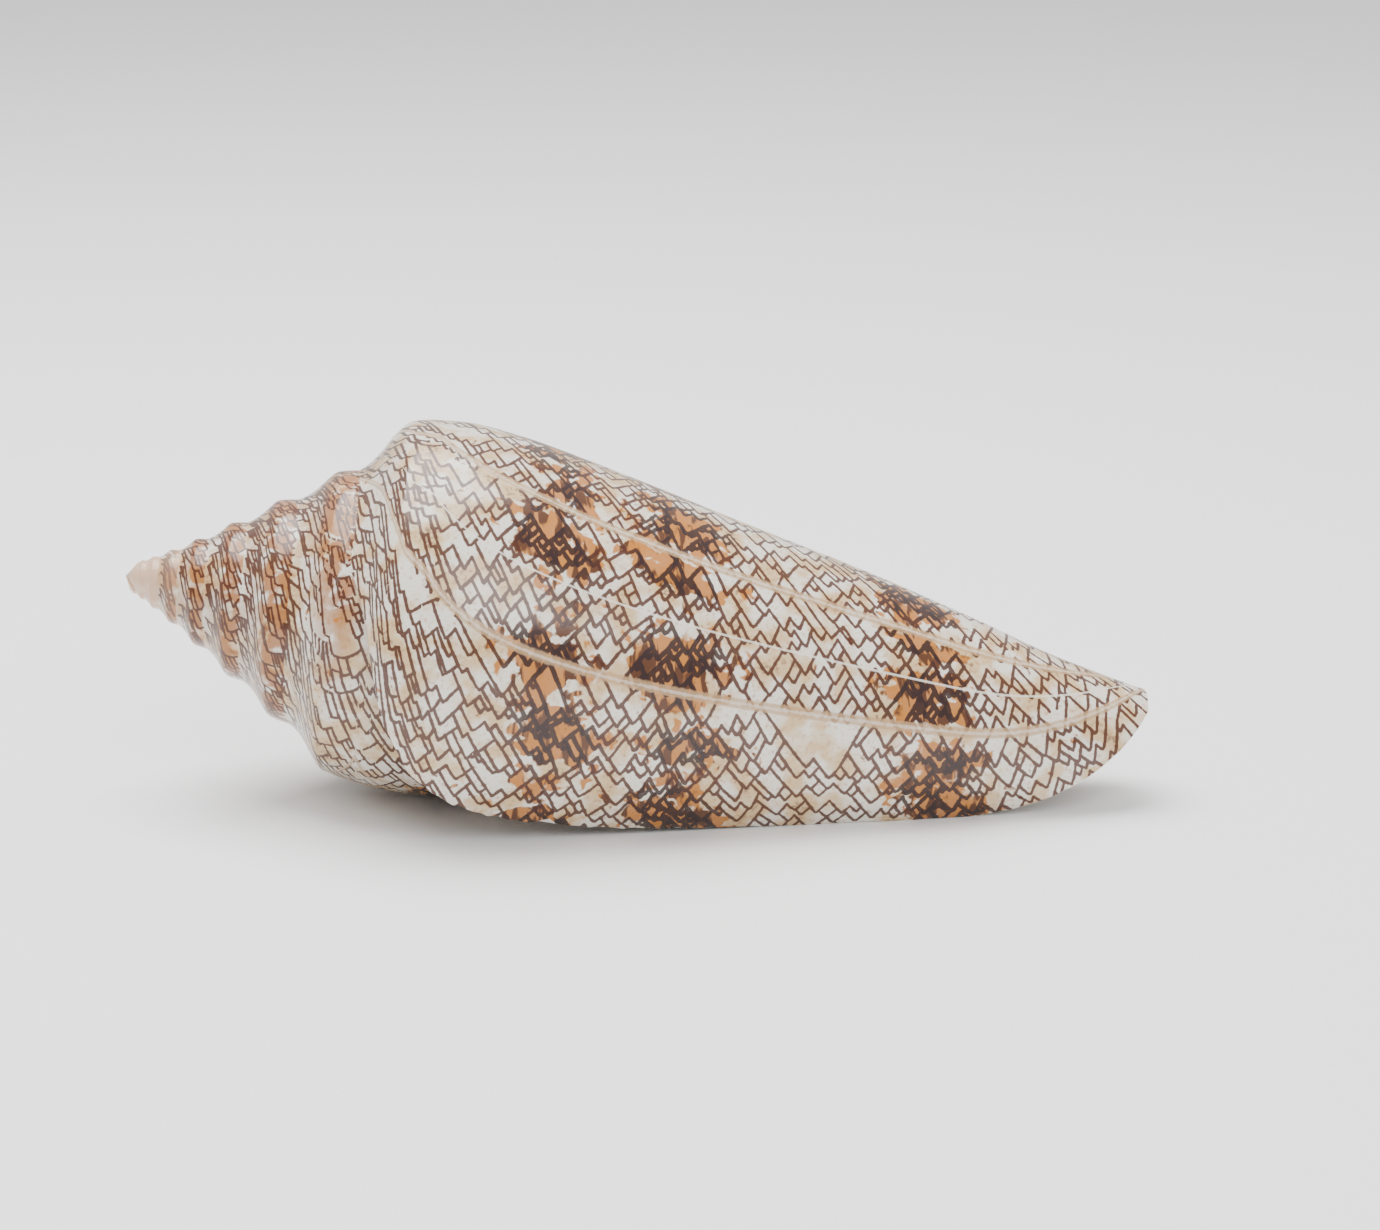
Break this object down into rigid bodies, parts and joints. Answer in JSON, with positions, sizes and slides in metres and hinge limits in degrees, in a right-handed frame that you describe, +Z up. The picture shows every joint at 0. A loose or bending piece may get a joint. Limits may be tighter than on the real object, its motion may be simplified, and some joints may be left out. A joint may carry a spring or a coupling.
{
  "type": "cone shell",
  "caption": "Slender right-handed cone sea shell with a tall stepped spire, sharp shoulder, thin outer lip and slit-like aperture, lying on its aperture side.",
  "frame": {"origin": "middle of the bounding box at the level of the surface that the shell lies on", "axes": "+X from the apex towards the siphonal end, +Y away from the side in the picture, +Z up"},
  "size_m": [0.1094, 0.044, 0.0406],
  "materials": {
    "shell": "glossy porcelain-like shell, cream and white tents netted with fine brown lines, golden-brown bands"
  },
  "bodies": {
    "root": {"shell": "shell"}
  },
  "joints": []
}
